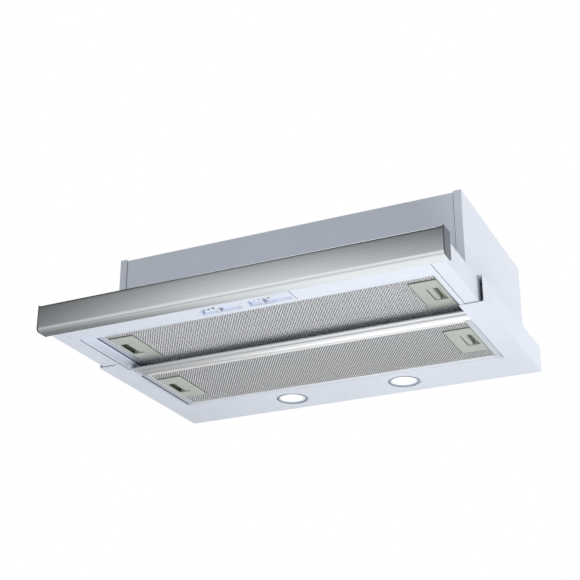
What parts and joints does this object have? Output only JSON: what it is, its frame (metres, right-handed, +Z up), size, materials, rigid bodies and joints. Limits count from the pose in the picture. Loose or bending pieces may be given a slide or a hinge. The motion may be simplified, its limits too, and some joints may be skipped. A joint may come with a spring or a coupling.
{
  "type": "pull-out range hood",
  "caption": "Slide-out under-cabinet range hood with a steel box, blower, top duct collar, mesh filters, lamps and a sliding front frame with slider controls.",
  "frame": {"origin": "middle of the bottom of the pulled-out hood, level with the underside of the lower tray and the front bar", "axes": "+Z up, +Y from the front bar towards the wall, +X to the right as seen from in front"},
  "size_m": [0.6, 0.455, 0.2155],
  "materials": {
    "white_paint": "satin",
    "stainless": "brushed",
    "cap_plastic": "satin",
    "duct_plastic": "matte",
    "zinc_steel": "satin",
    "shaft_steel": "polished",
    "fan_plastic": "matte",
    "stator_iron": "matte",
    "electrical_plastic": "matte",
    "gland_plastic": "matte",
    "capacitor_plastic": "gloss",
    "driver_plastic": "matte",
    "lamp_chrome": "polished",
    "lamp_lens": "frosted",
    "lamp_alloy": "satin",
    "rail_aluminium": "bright",
    "filter_aluminium": "satin",
    "mesh_aluminium": "satin",
    "latch_plastic": "matte",
    "control_plastic": "satin",
    "glide_nylon": "matte"
  },
  "bodies": {
    "housing": {"lower_tray": "white_paint", "left_side_panel": "white_paint", "right_side_panel": "white_paint", "front_panel": "white_paint", "back_panel": "white_paint", "top_panel": "white_paint", "duct_collar": "duct_plastic", "damper_pin": "zinc_steel", "scroll_left_half": "duct_plastic", "scroll_right_half": "duct_plastic", "motor_case": "zinc_steel", "motor_stator": "stator_iron", "motor_bracket": "zinc_steel", "run_capacitor": "capacitor_plastic", "terminal_box": "electrical_plastic", "cable_gland": "gland_plastic", "lamp_driver": "driver_plastic", "left_lamp_ring": "lamp_chrome", "left_lamp_lens": "lamp_lens", "left_lamp_body": "lamp_alloy", "right_lamp_ring": "lamp_chrome", "right_lamp_lens": "lamp_lens", "right_lamp_body": "lamp_alloy", "left_runner": "zinc_steel", "right_runner": "zinc_steel", "filter_rail": "rail_aluminium", "rear_filter_frame": "filter_aluminium", "rear_filter_mesh": "mesh_aluminium", "rear_left_latch_plate": "latch_plastic", "rear_right_latch_plate": "latch_plastic", "housing_screws": "zinc_steel"},
    "fan_rotor": {"impeller_blades": "fan_plastic", "impeller_rings": "fan_plastic", "impeller_hub": "fan_plastic", "motor_shaft": "shaft_steel"},
    "front_flap": {"front_damper_flap": "duct_plastic"},
    "rear_flap": {"rear_damper_flap": "duct_plastic"},
    "light_knob": {"light_knob": "control_plastic"},
    "speed_knob": {"speed_knob": "control_plastic"},
    "rear_left_latch": {"rear_left_latch": "latch_plastic"},
    "rear_right_latch": {"rear_right_latch": "latch_plastic"},
    "front_left_latch": {"front_left_latch": "latch_plastic"},
    "front_right_latch": {"front_right_latch": "latch_plastic"},
    "sliding_frame": {"fascia_bar": "stainless", "left_end_cap": "cap_plastic", "right_end_cap": "cap_plastic", "cross_panel": "white_paint", "left_arm": "white_paint", "right_arm": "white_paint", "left_rim": "white_paint", "right_rim": "white_paint", "glides": "glide_nylon", "drawer_cover": "white_paint", "control_insert": "control_plastic", "slide_switches": "electrical_plastic", "front_filter_frame": "filter_aluminium", "front_filter_mesh": "mesh_aluminium", "front_left_latch_plate": "latch_plastic", "front_right_latch_plate": "latch_plastic", "frame_screws": "zinc_steel"}
  },
  "joints": [
    {"name": "frame_slide", "type": "slide", "parent": "housing", "child": "sliding_frame", "axis": [0, 1, 0], "range_m": [0, 0.138]},
    {"name": "fan_spin", "type": "hinge", "parent": "housing", "child": "fan_rotor", "pos_m": [0, 0.114, 0.108], "axis": [1, 0, 0], "continuous": true},
    {"name": "front_flap_hinge", "type": "hinge", "parent": "housing", "child": "front_flap", "pos_m": [0, 0.0795, 0.166], "axis": [-1, 0, 0], "range_deg": [0, 75]},
    {"name": "rear_flap_hinge", "type": "hinge", "parent": "housing", "child": "rear_flap", "pos_m": [0, 0.0795, 0.166], "axis": [1, 0, 0], "range_deg": [0, 75]},
    {"name": "light_slide", "type": "slide", "parent": "sliding_frame", "child": "light_knob", "axis": [1, 0, 0], "range_m": [-0.014, 0]},
    {"name": "speed_slide", "type": "slide", "parent": "sliding_frame", "child": "speed_knob", "axis": [1, 0, 0], "range_m": [-0.0118, 0.0118]},
    {"name": "rear_left_latch_slide", "type": "slide", "parent": "housing", "child": "rear_left_latch", "axis": [1, 0, 0], "range_m": [0, 0.007], "stiffness_N_per_m": 400, "springref_m": -0.004},
    {"name": "rear_right_latch_slide", "type": "slide", "parent": "housing", "child": "rear_right_latch", "axis": [-1, 0, 0], "range_m": [0, 0.007], "stiffness_N_per_m": 400, "springref_m": -0.004},
    {"name": "front_left_latch_slide", "type": "slide", "parent": "sliding_frame", "child": "front_left_latch", "axis": [1, 0, 0], "range_m": [0, 0.007], "stiffness_N_per_m": 400, "springref_m": -0.004},
    {"name": "front_right_latch_slide", "type": "slide", "parent": "sliding_frame", "child": "front_right_latch", "axis": [-1, 0, 0], "range_m": [0, 0.007], "stiffness_N_per_m": 400, "springref_m": -0.004}
  ]
}
